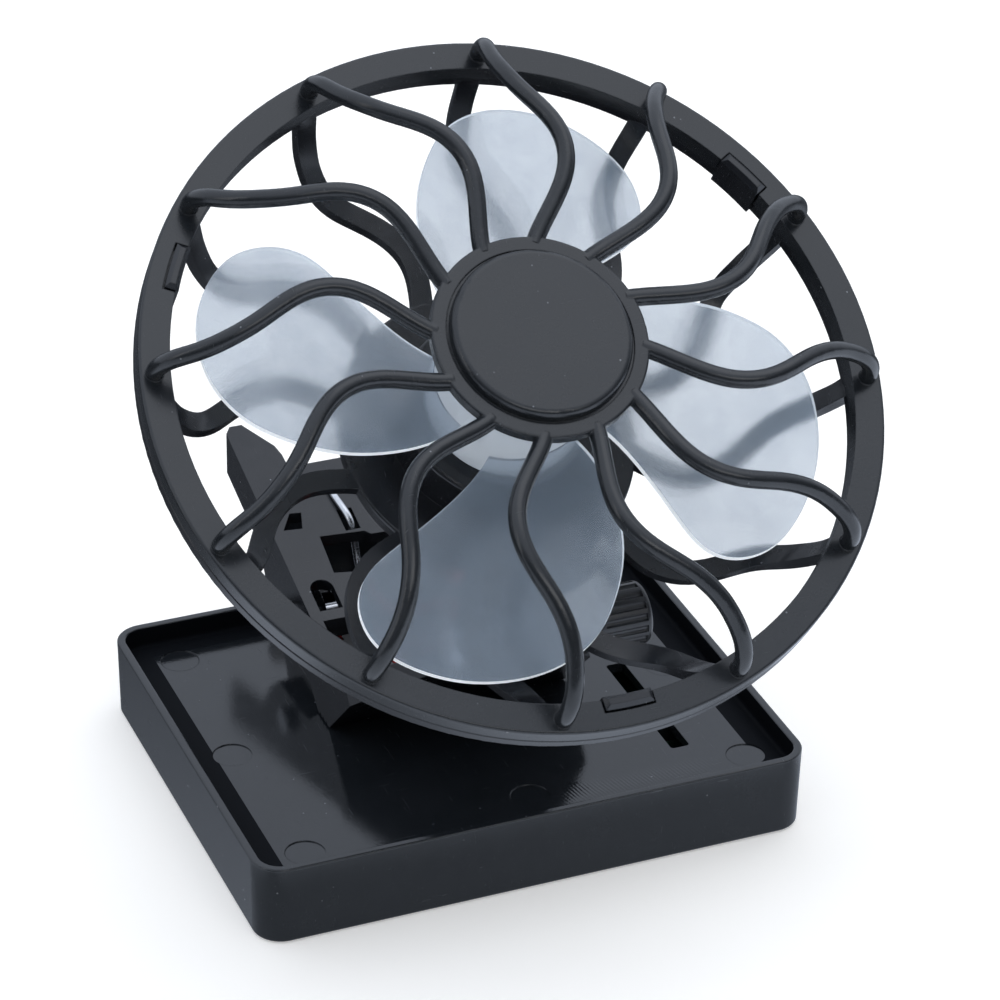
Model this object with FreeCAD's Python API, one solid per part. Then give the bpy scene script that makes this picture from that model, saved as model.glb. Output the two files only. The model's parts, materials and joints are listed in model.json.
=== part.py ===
import FreeCAD, Part
import math
import os

# Small clip-on solar fan, standing on its solar-panel tray.
# Units are millimetres. X runs across the tray, Y towards the handle end of
# the clip, Z up; the front is the -Y side. The origin is the centre of the
# tray's underside, the face the fan rests on. Guards, motor and rotor are
# drawn in the fan's own frame (axis +Z, front ring's face at 0), then placed.
# Cutters overrun the faces they open onto.

os.makedirs("parts", exist_ok=True)
Vector = FreeCAD.Vector

# -------------------------------------------------------- shared dimensions
SIDES = (-1, 1)
SNUG = 0.005             # radial gap between parts fixed to each other

TRAY_WIDTH = 85.0        # outside, along X
TRAY_DEPTH = 69.0        # outside, along Y
TRAY_DRAFT = 0.22        # underside is smaller by this much on each side
SKIRT_WALL = 1.5         # wall thickness below the floor
FLOOR_Z = 9.05           # top of the recess floor
FLOOR_T = 1.6
FLOOR_UNDER = FLOOR_Z - FLOOR_T
UNDER_WIDTH = TRAY_WIDTH - 2 * SKIRT_WALL - 2 * TRAY_DRAFT     # inside the skirt
UNDER_DEPTH = TRAY_DEPTH - 2 * SKIRT_WALL - 2 * TRAY_DRAFT

BOARD_Z0, BOARD_Z1 = 2.0, 3.6     # panel's board
PAD_T = 0.6              # pads between the board and the tray's corner posts
POST_X = (31.0, 38.0)    # span of a corner post
POST_Y = (23.0, 30.0)

HINGE_Y, HINGE_Z = 19.5, 18.0     # clip hinge axis (along X)
PIN_R = 1.2

LEVER_HALF = 19.0        # half width of the clip lever
LEVER_WALL = 1.6
HANDLE_T = 1.7           # handle plate thickness
HANDLE_BACK_Y, HANDLE_BACK_Z = 48.5, 35.7      # top of the handle's free edge
HANDLE_FRONT_Y, HANDLE_FRONT_Z = 8.5, 23.6     # top of its front edge
JAW_Z = FLOOR_Z + 0.3    # jaw edge just clear of the tray floor when shut
JAW_Y0, JAW_Y1 = 1.8, 6.6

TILT_Y, TILT_Z = -24.5, 36.5      # fan tilt axis (along X)
FORK_IN, FORK_OUT = 6.2, 9.0      # fork cheeks, distances from the middle
TILT_R = 1.5             # tilt bolt radius
WASHER_T = 0.5

# Arm of the lever, from the jaw edge up to the tilt axis.
ARM_T = 2.3
ARM_LENGTH = math.hypot(TILT_Y - JAW_Y0, TILT_Z - JAW_Z)
ARM_DY = (TILT_Y - JAW_Y0) / ARM_LENGTH        # unit direction along the arm
ARM_DZ = (TILT_Z - JAW_Z) / ARM_LENGTH
ARM_END = ARM_LENGTH - 2.0

FAN_TILT = 36.6          # fan axis leans forward this many degrees from vertical
FAN_Y, FAN_Z = -22.2, 77.1        # centre of the front ring's face
RING_RO = 52.5
RING_RI = 48.2
PARTING = -2.75          # where the two guard rings meet
SPOKES = 12
TAB_ANGLES = (30.0, 150.0, 270.0)              # snap tabs
TAB_HALF = 3.5
TAB_RO = 49.75           # head of the tab
TONGUE_RO = 49.0         # tongue below the head
TAB_SEAT = -1.2          # depth of the notches that take the tabs
REAR_HUB_R = 21.5
REAR_Z0, REAR_Z1 = -19.6, -17.7   # rear hub plate

MOTOR_R, MOTOR_Z0, MOTOR_Z1 = 12.25, -23.8, -11.4
CAN_WALL = 0.8
CAN_RI = MOTOR_R - CAN_WALL
SHAFT_R = 1.0
BUSH_R = 2.2
TERMINAL_X = 6.0
CORE_Z0, CORE_Z1 = MOTOR_Z0 + 5.0, MOTOR_Z1 - 2.6
STEM_HALF = 1.3          # armature stems, which the coils are wound on

FLANGE_Z = REAR_Z0 - 1.8          # rear face of the motor cover's flange
COVER_BACK = -29.2       # rearmost face of the motor cover
SCREW_R = 1.0

LEAD_R = 0.6
LEAD_X, LEAD_Y = 9.0, 25.0        # where the leads pass the tray floor
COVER_LEAD_X, COVER_LEAD_Y = 5.0, -8.0         # where they leave the motor cover


# ------------------------------------------------------------------ helpers
def box(x0, x1, y0, y1, z0, z1):
    """Box; the two ends along x may come in either order."""
    x0, x1 = sorted((x0, x1))
    return Part.makeBox(x1 - x0, y1 - y0, z1 - z0, Vector(x0, y0, z0))


def cylinder(radius, z0, z1, x=0.0, y=0.0):
    return Part.makeCylinder(radius, z1 - z0, Vector(x, y, z0))


def tube(outer_r, inner_r, z0, z1):
    return cylinder(outer_r, z0, z1).cut(cylinder(inner_r, z0 - 1, z1 + 1))


def x_cylinder(radius, x0, x1, y, z):
    x0, x1 = sorted((x0, x1))
    return Part.makeCylinder(radius, x1 - x0, Vector(x0, y, z), Vector(1, 0, 0))


def polygon_prism(points, run):
    return Part.Face(Part.makePolygon(points + points[:1])).extrude(run)


def yz_plate(points, x0, x1):
    """Prism from x0 to x1 over a polygon of (y, z) points."""
    x0, x1 = sorted((x0, x1))
    return polygon_prism([Vector(x0, y, z) for y, z in points], Vector(x1 - x0, 0, 0))


def xy_plate(points, z0, z1):
    """Prism from z0 to z1 over a polygon of (x, y) points."""
    return polygon_prism([Vector(x, y, z0) for x, y in points], Vector(0, 0, z1 - z0))


def rounded_wire(width, depth, radius, z):
    """Rectangle with round corners at height z."""
    half_x, half_y = width / 2.0, depth / 2.0
    bulge = radius * (1 - math.sqrt(0.5))
    outline = [
        (half_x, -half_y + radius), (half_x, half_y - radius), (half_x - bulge, half_y - bulge),
        (half_x - radius, half_y), (-half_x + radius, half_y), (-half_x + bulge, half_y - bulge),
        (-half_x, half_y - radius), (-half_x, -half_y + radius),
        (-half_x + bulge, -half_y + bulge), (-half_x + radius, -half_y),
        (half_x - radius, -half_y), (half_x - bulge, -half_y + bulge)]
    points = [Vector(x, y, z) for x, y in outline]
    edges = []
    for i in (0, 3, 6, 9):
        edges.append(Part.makeLine(points[i], points[i + 1]))
        edges.append(Part.Arc(points[i + 1], points[i + 2], points[(i + 3) % 12]).toShape())
    return Part.Wire(edges)


def rounded_prism(width, depth, radius, z0, z1):
    return Part.Face(rounded_wire(width, depth, radius, z0)).extrude(Vector(0, 0, z1 - z0))


def edges_at_z(shape, z):
    return [e for e in shape.Edges
            if abs(e.BoundBox.ZMin - z) < 1e-3 and abs(e.BoundBox.ZMax - z) < 1e-3]


def outer_edges_at_z(shape, z):
    """Edges of a guard ring on its outer wall."""
    return [e for e in edges_at_z(shape, z) if e.BoundBox.XLength > 2 * RING_RI + 4]


def fillet_at_z(shape, radius, z):
    return shape.makeFillet(radius, edges_at_z(shape, z))


def fillet_at_x(shape, radius, x):
    edges = [e for e in shape.Edges
             if abs(e.BoundBox.XMin - x) < 1e-3 and abs(e.BoundBox.XMax - x) < 1e-3]
    return shape.makeFillet(radius, edges)


def spline(points):
    curve = Part.BSplineCurve()
    curve.interpolate([Vector(*point) for point in points])
    return curve


def swept(points, radius):
    """Round bar along a smooth curve through the points."""
    curve = spline(points)
    start = curve.value(curve.FirstParameter)
    direction = curve.tangent(curve.FirstParameter)[0]
    section = Part.Wire(Part.makeCircle(radius, start, direction))
    return Part.Wire(curve.toShape()).makePipeShell([section], True, True)


def polar(radius, degrees, z=0.0):
    angle = math.radians(degrees)
    return Vector(radius * math.cos(angle), radius * math.sin(angle), z)


def turned(shape, degrees):
    copy = shape.copy()
    copy.rotate(Vector(0, 0, 0), Vector(0, 0, 1), degrees)
    return copy


def around(shape, count, start=0.0):
    """Copies of the shape spread evenly about Z."""
    return [turned(shape, start + 360.0 / count * i) for i in range(count)]


def fuse_all(shapes):
    return shapes[0].multiFuse(shapes[1:]).removeSplitter()


def placed(shape):
    """Moves a shape from the fan's own frame into place."""
    copy = shape.copy()
    copy.rotate(Vector(0, 0, 0), Vector(1, 0, 0), FAN_TILT)
    copy.translate(Vector(0, FAN_Y, FAN_Z))
    return copy


def in_fan_frame(y, z):
    """(y, z) of a point on the X = 0 plane, in the fan's own frame."""
    angle = math.radians(FAN_TILT)
    dy, dz = y - FAN_Y, z - FAN_Z
    return (dy * math.cos(angle) + dz * math.sin(angle),
            -dy * math.sin(angle) + dz * math.cos(angle))


def handle_top(y):
    """Height of the handle plate's sloping top at y."""
    slope = (HANDLE_BACK_Z - HANDLE_FRONT_Z) / (HANDLE_BACK_Y - HANDLE_FRONT_Y)
    return HANDLE_FRONT_Z + slope * (y - HANDLE_FRONT_Y)


def arm_point(along, out):
    """(y, z) at a distance along the arm, and out of its front underside."""
    return (JAW_Y0 + ARM_DY * along - ARM_DZ * out,
            JAW_Z + ARM_DZ * along + ARM_DY * out)


ARM_BACK_LOW = (JAW_Y1 - 1.4, JAW_Z + 3.6)     # ends of the arm's back face
ARM_BACK_HIGH = arm_point(ARM_END, -ARM_T)


def save(shape, name):
    shape.exportStep("parts/" + name + ".step")


# --------------------------------------------------------------------- tray
TRAY_HEIGHT = 12.5
TRAY_CORNER_R = 4.5
RIM_WALL = 1.3           # rim wall of the top recess
FLOOR_SLOT = (26.3, 29.2, -20.9, 3.4)          # x0, x1, y0, y1
# x, y of the shallow round marks in the floor
EJECTOR_MARKS = ((-34.6, 0.5), (34.6, 0.5), (35.8, -26.2), (-33.6, 27.6),
                 (33.6, 27.6), (-33.1, -26.6), (2.1, -24.8))
EJECTOR_R, EJECTOR_DEPTH = 2.9, 0.15
FLOOR_RIB_HALF = 0.6
EAR_R = 4.2
EAR_T = 3.0
EAR_OUT = LEVER_HALF - LEVER_WALL - 0.3        # 0.3 clear of the lever's walls
FINGER_HALF = 15.0       # half width of the fixed finger plate
FINGER_FOOT = (33.4, 11.0)                     # y, z
FINGER_TOP_Y, FINGER_TOP_Z = 41.4, 22.4
GUSSET_HALF = 0.6


def tray_shell():
    outer = Part.makeLoft([
        rounded_wire(TRAY_WIDTH - 2 * TRAY_DRAFT, TRAY_DEPTH - 2 * TRAY_DRAFT,
                     TRAY_CORNER_R - TRAY_DRAFT, 0.0),
        rounded_wire(TRAY_WIDTH, TRAY_DEPTH, TRAY_CORNER_R, TRAY_HEIGHT)], True, True)
    recess = rounded_prism(TRAY_WIDTH - 2 * RIM_WALL, TRAY_DEPTH - 2 * RIM_WALL,
                           TRAY_CORNER_R - RIM_WALL, FLOOR_Z, TRAY_HEIGHT + 3)
    recess = fillet_at_z(recess, 0.6, FLOOR_Z)
    shell = outer.cut(recess)
    shell = fillet_at_z(shell, 0.3, TRAY_HEIGHT)
    shell = fillet_at_z(shell, 0.5, 0.0)
    shell = shell.cut(rounded_prism(UNDER_WIDTH, UNDER_DEPTH, 2.6, -3.0, FLOOR_UNDER))
    slot = box(*FLOOR_SLOT, FLOOR_UNDER - 1, FLOOR_Z + 1)
    slot = slot.makeFillet(0.5, [e for e in slot.Edges if e.BoundBox.ZLength > 2])
    shell = shell.cut(slot)
    for x, y in EJECTOR_MARKS:
        shell = shell.cut(cylinder(EJECTOR_R, FLOOR_Z - EJECTOR_DEPTH, FLOOR_Z + 1, x, y))
    return shell


def floor_supports():
    """Corner posts and cross ribs under the floor."""
    top = FLOOR_UNDER + 0.2
    rib_bottom = BOARD_Z1 + 0.9
    supports = []
    for x_side in SIDES:
        for y_side in SIDES:
            y0, y1 = sorted(y_side * y for y in POST_Y)
            supports.append(box(x_side * POST_X[0], x_side * POST_X[1], y0, y1,
                                BOARD_Z1 + PAD_T, top))
    for y in (-12.0, 12.0):
        supports.append(box(-40.8, 40.8, y - FLOOR_RIB_HALF, y + FLOOR_RIB_HALF,
                            rib_bottom, top))
    for x in (-22.0, 22.0):
        supports.append(box(x - FLOOR_RIB_HALF, x + FLOOR_RIB_HALF, -32.8, 32.8,
                            rib_bottom, top))
    return supports


def hinge_ears():
    profile = [(HINGE_Y - 7.0, FLOOR_Z - 0.4), (HINGE_Y + 8.5, FLOOR_Z - 0.4),
               (HINGE_Y + 8.5, FLOOR_Z + 0.6),
               (HINGE_Y + EAR_R * 0.94, HINGE_Z - EAR_R * 0.1),
               (HINGE_Y - EAR_R * 0.97, HINGE_Z - EAR_R * 0.1),
               (HINGE_Y - 7.0, FLOOR_Z + 1.0)]
    ears = []
    for side in SIDES:
        x0, x1 = side * EAR_OUT, side * (EAR_OUT - EAR_T)
        ears.append(yz_plate(profile, x0, x1).fuse(x_cylinder(EAR_R, x0, x1, HINGE_Y, HINGE_Z)))
    return ears


def finger_plate():
    """Fixed plate rising from the back rim under the clip handle."""
    finger = yz_plate([FINGER_FOOT, (FINGER_TOP_Y, FINGER_TOP_Z),
                       (FINGER_TOP_Y + 1.35, FINGER_TOP_Z - 0.85),
                       (TRAY_DEPTH / 2 - 0.05, 9.4)], -FINGER_HALF, FINGER_HALF)
    corners = [e for e in finger.Edges
               if e.BoundBox.XLength < 1e-3 and e.BoundBox.YMin > FINGER_TOP_Y - 0.1]
    return finger.makeFillet(4.0, corners)


def solar_tray():
    back = TRAY_DEPTH / 2 - 0.6
    gusset = [(back, 4.2), (back, 12.0), (39.6, 19.6), (40.3, 18.9)]
    gussets = [yz_plate(gusset, x - GUSSET_HALF, x + GUSSET_HALF) for x in (-10.0, 0.0, 10.0)]
    tray = fuse_all([tray_shell(), finger_plate()] + gussets + floor_supports() + hinge_ears())
    tray = tray.cut(x_cylinder(PIN_R + SNUG, -LEVER_HALF, LEVER_HALF, HINGE_Y, HINGE_Z))
    for side in SIDES:
        tray = tray.cut(cylinder(LEAD_R + 0.25, FLOOR_UNDER - 1, FLOOR_Z + 1,
                                 side * LEAD_X, LEAD_Y))
    return tray


# -------------------------------------------------------------- solar panel
PANEL_GAP = 0.25         # board to skirt
PANEL_SIZE = (UNDER_WIDTH - 2 * PANEL_GAP, UNDER_DEPTH - 2 * PANEL_GAP, 2.3)  # x, y, corner
COVER_Z0 = 0.0           # outer face of the clear cover, level with the skirt edge
CELL_COUNT = 6
CELL_WIDTH, CELL_LENGTH, CELL_GAP, CELL_T = 12.4, 58.0, 0.6, 0.3
CELL_PITCH = CELL_WIDTH + CELL_GAP
CELL_Z0 = BOARD_Z0 - CELL_T
CELL_X = [-(CELL_COUNT * CELL_PITCH - CELL_GAP) / 2.0 + CELL_PITCH * i
          for i in range(CELL_COUNT)]          # low-x edge of each cell
RIBBON_HALF, RIBBON_T = 0.6, 0.15
RIBBON_SHIFT = 1.5       # ribbons sit this far towards -Y of the cells
POCKET_GAP = 0.02        # round cells and ribbons in the cover


def cell_box(x, gap, top):
    return box(x - gap, x + CELL_WIDTH + gap, -CELL_LENGTH / 2 - gap, CELL_LENGTH / 2 + gap,
               CELL_Z0, top)


def ribbon_box(x, gap, top):
    middle = x + CELL_WIDTH / 2
    return box(middle - RIBBON_HALF - gap, middle + RIBBON_HALF + gap,
               -CELL_LENGTH / 2 - RIBBON_SHIFT - gap, CELL_LENGTH / 2 - RIBBON_SHIFT + gap,
               CELL_Z0 - RIBBON_T, top)


def panel_board():
    return rounded_prism(*PANEL_SIZE, BOARD_Z0, BOARD_Z1)


def solar_cells():
    return Part.makeCompound([cell_box(x, 0.0, BOARD_Z0) for x in CELL_X])


def cell_ribbons():
    return Part.makeCompound([ribbon_box(x, 0.0, CELL_Z0) for x in CELL_X])


def panel_cover():
    cover = rounded_prism(*PANEL_SIZE, COVER_Z0, BOARD_Z0)
    cover = fillet_at_z(cover, 0.35, COVER_Z0)
    pockets = []
    for x in CELL_X:
        pockets.append(cell_box(x, POCKET_GAP, BOARD_Z0 + 1))
        pockets.append(ribbon_box(x, POCKET_GAP, BOARD_Z0 + 1))
    return cover.cut(pockets[0].multiFuse(pockets[1:]))


def panel_pads():
    inset = 0.5          # from the edges of the post
    pads = []
    for x_side in SIDES:
        for y_side in SIDES:
            y0, y1 = sorted((y_side * (POST_Y[0] + inset), y_side * (POST_Y[1] - inset)))
            pads.append(box(x_side * (POST_X[0] + inset), x_side * (POST_X[1] - inset),
                            y0, y1, BOARD_Z1, BOARD_Z1 + PAD_T))
    return Part.makeCompound(pads)


def panel_solder():
    blobs = []
    for side in SIDES:
        blob = Part.makeCone(1.5, 0.75, 0.8, Vector(side * LEAD_X, LEAD_Y, BOARD_Z1))
        blobs.append(blob.cut(cylinder(LEAD_R + 0.06, BOARD_Z1 + 0.2, BOARD_Z1 + 2,
                                       side * LEAD_X, LEAD_Y)))
    return Part.makeCompound(blobs)


# ----------------------------------------------------------- clip hinge pin
PIN_HALF = LEVER_HALF + 0.35      # under the head to the middle
PIN_HEAD_T = 0.9


def hinge_pin():
    pin = x_cylinder(PIN_R, -PIN_HALF, PIN_HALF + 1.5, HINGE_Y, HINGE_Z)
    head = x_cylinder(2.1, -PIN_HALF - PIN_HEAD_T, -PIN_HALF, HINGE_Y, HINGE_Z)
    head = fillet_at_x(head, 0.4, -PIN_HALF - PIN_HEAD_T)
    return pin.fuse(head).removeSplitter()


def pin_ring():
    """Split ring on the pin's +X end, open at the bottom."""
    ring = x_cylinder(2.3, PIN_HALF, PIN_HALF + 0.6, HINGE_Y, HINGE_Z)
    ring = ring.cut(x_cylinder(PIN_R + SNUG, PIN_HALF - 1, PIN_HALF + 2, HINGE_Y, HINGE_Z))
    return ring.cut(box(PIN_HALF - 1, PIN_HALF + 2, HINGE_Y - 0.5, HINGE_Y + 0.5,
                        HINGE_Z - 3, HINGE_Z - 0.9))


# ------------------------------------------------ torsion spring, two pieces
# The coil and lower arm stay with the tray; the upper arm moves with the lever.
SPRING_WIRE_R, COIL_R, COIL_PITCH, COIL_TURNS = 0.55, 3.0, 1.3, 6
COIL_X0 = -COIL_PITCH * COIL_TURNS / 2.0
LEG_X = -6.4             # upper arm


def spring_coil():
    helix = Part.makeHelix(COIL_PITCH, COIL_PITCH * COIL_TURNS, COIL_R)
    direction = Vector(0, 1, COIL_PITCH / (2 * math.pi * COIL_R))
    section = Part.Wire(Part.makeCircle(SPRING_WIRE_R, Vector(COIL_R, 0, 0), direction))
    coil = Part.Wire(helix).makePipeShell([section], True, True)
    # lay the axis along X, with the helix starting straight below it
    coil.rotate(Vector(0, 0, 0), Vector(0, 1, 0), 90)
    coil.translate(Vector(COIL_X0, HINGE_Y, HINGE_Z))
    bottom = HINGE_Z - COIL_R
    arm = swept([
        (COIL_X0, HINGE_Y, bottom),
        (COIL_X0 - 0.25, HINGE_Y + 1.6, bottom - 0.5),
        (COIL_X0 - 0.6, HINGE_Y + 5.4, bottom - 2.6),
        (COIL_X0 - 0.7, HINGE_Y + 9.0, FLOOR_Z + SPRING_WIRE_R + 1.35),
        (COIL_X0 - 0.7, HINGE_Y + 12.4, FLOOR_Z + SPRING_WIRE_R + 0.12)], SPRING_WIRE_R)
    coil = coil.fuse(arm)
    # the ball fills the joint between coil and arm
    ball = Part.makeSphere(SPRING_WIRE_R, Vector(COIL_X0, HINGE_Y, bottom))
    return coil.fuse(ball).removeSplitter()


def spring_leg():
    """Upper arm: rises through the handle's slot and lies along its top."""
    return swept([
        (LEG_X, HINGE_Y - 2.6, HINGE_Z + 1.5),
        (LEG_X, HINGE_Y - 1.5, HINGE_Z + 2.6),
        (LEG_X, HINGE_Y, HINGE_Z + 3.0),
        (LEG_X, HINGE_Y + 2.6, HINGE_Z + 3.9),
        (LEG_X, HINGE_Y + 4.4, HINGE_Z + 6.0),
        (LEG_X - 0.1, 25.0, handle_top(25.0) - 1.6),
        (LEG_X - 0.3, 26.0, handle_top(26.0) + 0.2),
        (LEG_X - 0.6, 27.6, handle_top(27.6) + SPRING_WIRE_R + 0.15),
        (LEG_X - 1.1, 33.0, handle_top(33.0) + SPRING_WIRE_R + 0.1)], SPRING_WIRE_R)


# -------------------------------------------------------------- clip lever
WALL_PROFILE = [         # y, z of the side walls
    (HANDLE_BACK_Y, handle_top(HANDLE_BACK_Y)), (4.7, handle_top(4.7)), (-5.5, 19.6),
    (-6.9, 18.4), (JAW_Y0, JAW_Z), (JAW_Y1, JAW_Z), (10.5, 12.6), (15.0, 13.6),
    (24.0, 13.8), (28.0, 17.2), (33.0, 24.0),
    (HANDLE_BACK_Y, handle_top(HANDLE_BACK_Y) - 6.8)]
ARM_PLAN = (             # x, distance along the arm, seen square on
    (-LEVER_HALF, -3.0), (LEVER_HALF, -3.0), (LEVER_HALF, 12.5), (FORK_OUT, 24.5),
    (FORK_OUT, ARM_LENGTH + 2.0), (-FORK_OUT, ARM_LENGTH + 2.0), (-FORK_OUT, 24.5),
    (-LEVER_HALF, 12.5))
# x, y of the cuts through the handle plate, seen from above
HANDLE_SCALLOP = (       # leaves a horn at each side of the free edge
    (-16.2, HANDLE_BACK_Y + 1), (-16.0, HANDLE_BACK_Y - 0.2), (-12.6, 43.2), (-12.1, 41.2),
    (-12.0, 38.6), (12.0, 38.6), (12.1, 41.2), (12.6, 43.2), (16.0, HANDLE_BACK_Y - 0.2),
    (16.2, HANDLE_BACK_Y + 1))
SPRING_WINDOW = ((-12.6, 17.0), (-9.0, 16.4), (-7.2, 18.0), (3.6, 18.6), (3.6, 22.6),
                 (-4.4, 22.9), (-5.2, 23.7), (-12.2, 24.2))
SMALL_HOLE = ((-17.1, 26.6), (-15.1, 29.6), (-13.3, 29.4), (-14.2, 26.3))
HANDLE_CUT_Z0, HANDLE_CUT_Z1 = 22, 40          # heights clear of the plate's underside and top
JAW_GROOVES = (2.9, 4.2, 5.5)                  # y of the grip grooves
HANDLE_RIB_X = (-13.6, 9.5, 14.5)
HANDLE_RIB_HALF = 0.6
CHEEK_R = 4.4
PIN_RUN = 0.05           # radial running clearance on the hinge pin


def handle_plate():
    front, back = handle_top(HANDLE_FRONT_Y), handle_top(HANDLE_BACK_Y)
    return yz_plate([(HANDLE_FRONT_Y, front - HANDLE_T), (HANDLE_BACK_Y, back - HANDLE_T),
                     (HANDLE_BACK_Y, back), (HANDLE_FRONT_Y, front)], -LEVER_HALF, LEVER_HALF)


def handle_stiffener():
    """Cross bar under the handle's front edge."""
    y0, y1 = HANDLE_FRONT_Y + 0.2, HANDLE_FRONT_Y + 1.6
    z0, z1 = handle_top(HANDLE_FRONT_Y), handle_top(y1)
    return yz_plate([(y0, z0 - 1.0), (y0, z0 - 3.2), (y1, z1 - 3.2), (y1, z1 - 1.0)],
                    -LEVER_HALF + 0.8, LEVER_HALF - 0.8)


def lever_arm():
    """Inclined arm, full width at the jaw and narrow at the fork."""
    arm = yz_plate([(JAW_Y0, JAW_Z), arm_point(ARM_END, 0.0), ARM_BACK_HIGH, ARM_BACK_LOW,
                    (JAW_Y1, JAW_Z)], -LEVER_HALF, LEVER_HALF)
    plan = [Vector(x, *arm_point(along, -12)) for x, along in ARM_PLAN]
    return arm.common(polygon_prism(plan, Vector(0, -ARM_DZ * 24, ARM_DY * 24)))


def fork_cheeks():
    root = ARM_LENGTH - 12.0
    profile = [arm_point(root, 0.0), arm_point(ARM_LENGTH, 4.3), arm_point(ARM_LENGTH, -4.3),
               arm_point(root, -ARM_T)]
    cheeks = []
    for side in SIDES:
        x0, x1 = side * FORK_IN, side * FORK_OUT
        cheek = x_cylinder(CHEEK_R, x0, x1, TILT_Y, TILT_Z)
        cheeks.append(cheek.fuse(yz_plate(profile, x0, x1)))
    return cheeks


def cut_handle(lever):
    lever = lever.cut(xy_plate(HANDLE_SCALLOP_POINTS, 0, 60))
    for side in SIDES:
        corner = [(side * (LEVER_HALF + 1), HANDLE_BACK_Y - 2.6),
                  (side * (LEVER_HALF - 1.7), HANDLE_BACK_Y + 1),
                  (side * (LEVER_HALF + 1), HANDLE_BACK_Y + 1)]
        lever = lever.cut(xy_plate(corner, 0, 60))
    for outline in (SPRING_WINDOW, SMALL_HOLE):
        lever = lever.cut(xy_plate(outline, HANDLE_CUT_Z0, HANDLE_CUT_Z1 + 2))
    # slot for the spring's upper arm
    lever = lever.cut(box(LEG_X - 1.5, LEG_X + 0.85, 24.4, 28.6, HANDLE_CUT_Z0, HANDLE_CUT_Z1))
    # opening with one round end, near the front edge on the -X side
    opening = box(-17.2, -13.6, 10.4, 14.4, HANDLE_CUT_Z0, HANDLE_CUT_Z1)
    opening = opening.fuse(cylinder(1.8, HANDLE_CUT_Z0, HANDLE_CUT_Z1, -15.4, 14.4))
    return lever.cut(opening)


HANDLE_SCALLOP_POINTS = HANDLE_SCALLOP


def handle_ribs():
    profile = [(31.0, handle_top(31.0) - HANDLE_T + 0.3),
               (38.0, handle_top(38.0) - HANDLE_T + 0.3),
               (37.2, handle_top(37.2) - HANDLE_T - 1.2),
               (31.8, handle_top(31.8) - HANDLE_T - 1.2)]
    return [yz_plate(profile, x - HANDLE_RIB_HALF, x + HANDLE_RIB_HALF) for x in HANDLE_RIB_X]


def clip_lever():
    walls = [yz_plate(WALL_PROFILE, side * LEVER_HALF, side * (LEVER_HALF - LEVER_WALL))
             for side in SIDES]
    lever = fuse_all([handle_plate(), lever_arm(), handle_stiffener()] + walls + fork_cheeks())
    # the motor cover's knuckle turns between the cheeks, so the arm stops short of it
    lever = lever.cut(x_cylinder(5.6, -FORK_IN, FORK_IN, TILT_Y, TILT_Z))
    lever = fuse_all([cut_handle(lever)] + handle_ribs())
    for y in JAW_GROOVES:
        groove = [(y - 0.4, JAW_Z - 0.2), (y + 0.4, JAW_Z - 0.2), (y, JAW_Z + 0.5)]
        lever = lever.cut(yz_plate(groove, -LEVER_HALF - 1, LEVER_HALF + 1))
    lever = lever.cut(x_cylinder(PIN_R + PIN_RUN, -LEVER_HALF - 1, LEVER_HALF + 1,
                                 HINGE_Y, HINGE_Z))
    return lever.cut(x_cylinder(TILT_R + 0.01, -LEVER_HALF, LEVER_HALF, TILT_Y, TILT_Z))


# ------------------------------------------------------ tilt bolt and knob
BOLT_HEAD_X = -FORK_OUT - 2.4     # outer face of the bolt head
KNOB_R = 4.6
KNOB_X1 = 18.8           # outer face
KNOB_GROOVES = 16


def tilt_bolt():
    head_under = -FORK_OUT - WASHER_T
    bolt = x_cylinder(TILT_R, head_under, KNOB_X1 - 3.0, TILT_Y, TILT_Z)
    head = x_cylinder(2.8, BOLT_HEAD_X, head_under, TILT_Y, TILT_Z)
    head = fillet_at_x(head, 0.7, BOLT_HEAD_X)
    head = head.cut(box(BOLT_HEAD_X - 0.6, BOLT_HEAD_X + 0.7, TILT_Y - 0.4, TILT_Y + 0.4,
                        TILT_Z - 3, TILT_Z + 3))
    return bolt.fuse(head).removeSplitter()


def tilt_washers():
    washers = []
    for x in (-FORK_OUT - WASHER_T, FORK_OUT):
        washer = x_cylinder(3.3, x, x + WASHER_T, TILT_Y, TILT_Z)
        washers.append(washer.cut(x_cylinder(TILT_R + 0.01, x - 1, x + 2, TILT_Y, TILT_Z)))
    return Part.makeCompound(washers)


def tilt_knob():
    grip = x_cylinder(KNOB_R, FORK_OUT + 1.5, KNOB_X1, TILT_Y, TILT_Z)
    neck = x_cylinder(3.2, FORK_OUT + 0.6, FORK_OUT + 1.7, TILT_Y, TILT_Z)
    knob = grip.fuse(neck).removeSplitter()
    knob = fillet_at_x(knob, 0.8, KNOB_X1)
    for i in range(KNOB_GROOVES):
        groove = polar(KNOB_R + 0.2, 360.0 * i / KNOB_GROOVES)
        knob = knob.cut(x_cylinder(0.6, FORK_OUT + 2.4, KNOB_X1 - 0.9,
                                   TILT_Y + groove.x, TILT_Z + groove.y))
    return knob.cut(x_cylinder(TILT_R + 0.03, FORK_OUT, KNOB_X1 - 2.7, TILT_Y, TILT_Z))


# ------------------------------------------------- front guard (fan's frame)
RING_RF = 52.07          # outer radius at the front face
SPOKE_R = 1.25           # front spokes are round
# radius, angle from SPOKE_ANGLE, z along a front spoke
SPOKE_PATH = ((14.3, -3.8, 10.75), (18.3, -9.0, 11.25), (22.4, -12.9, 11.95),
              (26.8, -14.1, 12.5), (31.0, -12.0, 12.6), (34.6, -8.0, 12.1),
              (38.2, -3.6, 11.0), (42.2, -0.7, 9.3), (46.0, 0.4, 7.0),
              (49.0, 0.4, 4.6), (50.2, 0.2, 2.4), (50.3, 0.0, -0.7))
SPOKE_ANGLE = 109.0
HUB_R, HUB_Z0, HUB_Z1 = 15.15, 10.3, 11.9
CAP_R, CAP_Z = 12.6, 13.4


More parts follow.
